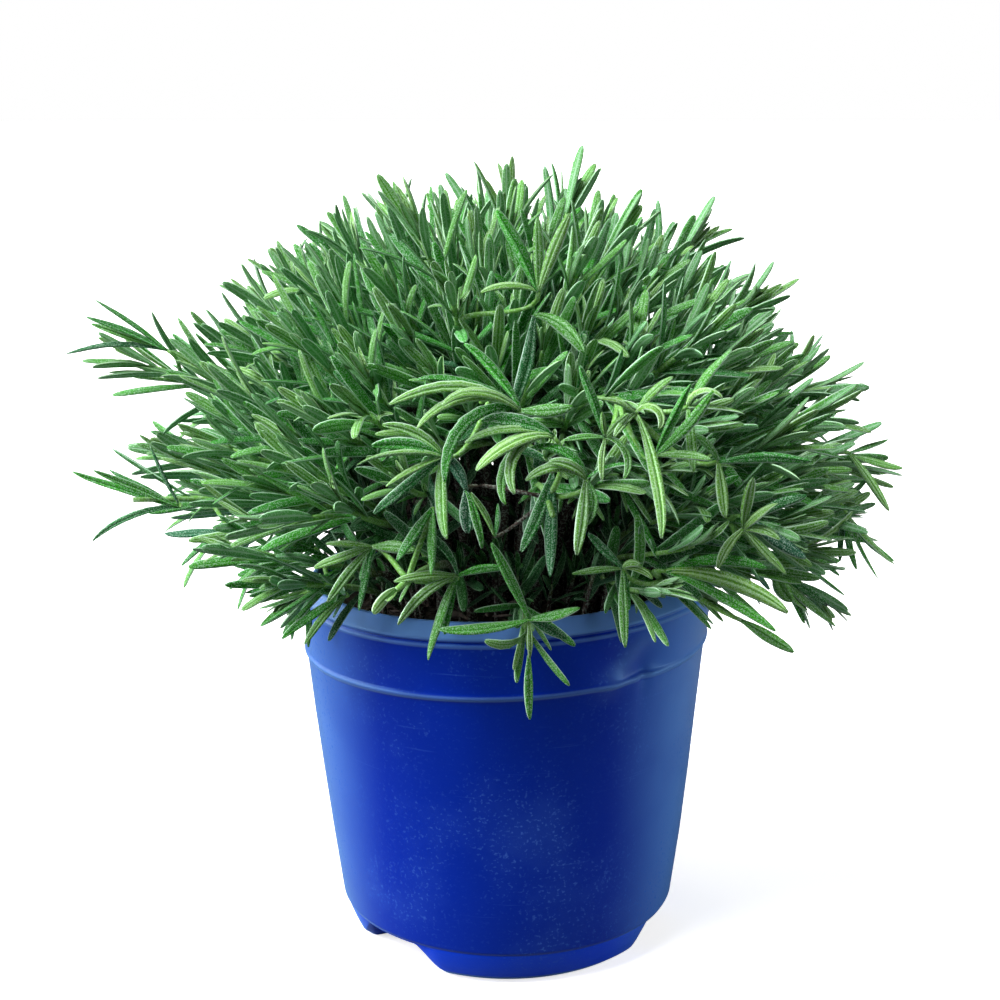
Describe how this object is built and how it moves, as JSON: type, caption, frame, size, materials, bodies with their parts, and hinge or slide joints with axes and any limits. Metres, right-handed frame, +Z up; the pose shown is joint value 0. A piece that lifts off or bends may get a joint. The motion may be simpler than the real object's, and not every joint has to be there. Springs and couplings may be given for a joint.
{
  "type": "potted lavender",
  "caption": "Round plastic nursery pot on a notched foot, filled with soil, holding a full dome of narrow-leaved lavender shoots.",
  "frame": {"origin": "middle of the pot's foot, on the plane that it stands on", "axes": "+Z up; -Y is the front, which the main view looks at; +X is the viewer's right"},
  "size_m": [0.2746, 0.267, 0.2714],
  "materials": {
    "pot": "satin moulded plastic, dusty and scuffed",
    "soil": "matt, crumbly peat and bark",
    "foliage": "matt, finely felted leaf"
  },
  "bodies": {
    "root": {"pot": "pot", "soil": "soil", "leafy_stem_01": "foliage", "leafy_stem_02": "foliage", "leafy_stem_03": "foliage", "leafy_stem_04": "foliage", "leafy_stem_05": "foliage", "leafy_stem_06": "foliage", "leafy_stem_07": "foliage", "leafy_stem_08": "foliage", "leafy_stem_09": "foliage", "leafy_stem_10": "foliage", "leafy_stem_11": "foliage", "leafy_stem_12": "foliage", "leafy_stem_13": "foliage", "leafy_stem_14": "foliage", "leafy_stem_15": "foliage", "leafy_stem_16": "foliage", "leafy_stem_17": "foliage", "leafy_stem_18": "foliage", "leafy_stem_19": "foliage", "leafy_stem_20": "foliage", "leafy_stem_21": "foliage", "leafy_stem_22": "foliage", "leafy_stem_23": "foliage", "leafy_stem_24": "foliage", "leafy_stem_25": "foliage", "leafy_stem_26": "foliage", "leafy_stem_27": "foliage", "leafy_stem_28": "foliage", "leafy_stem_29": "foliage", "leafy_stem_30": "foliage", "leafy_stem_31": "foliage", "leafy_stem_32": "foliage", "leafy_stem_33": "foliage", "leafy_stem_34": "foliage", "leafy_stem_35": "foliage", "leafy_stem_36": "foliage", "leafy_stem_37": "foliage", "leafy_stem_38": "foliage", "leafy_stem_39": "foliage", "leafy_stem_40": "foliage", "leafy_stem_41": "foliage", "leafy_stem_42": "foliage", "leafy_stem_43": "foliage", "leafy_stem_44": "foliage", "leafy_stem_45": "foliage", "leafy_stem_46": "foliage", "leafy_stem_47": "foliage", "leafy_stem_48": "foliage", "leafy_stem_49": "foliage", "leafy_stem_50": "foliage"}
  },
  "joints": []
}
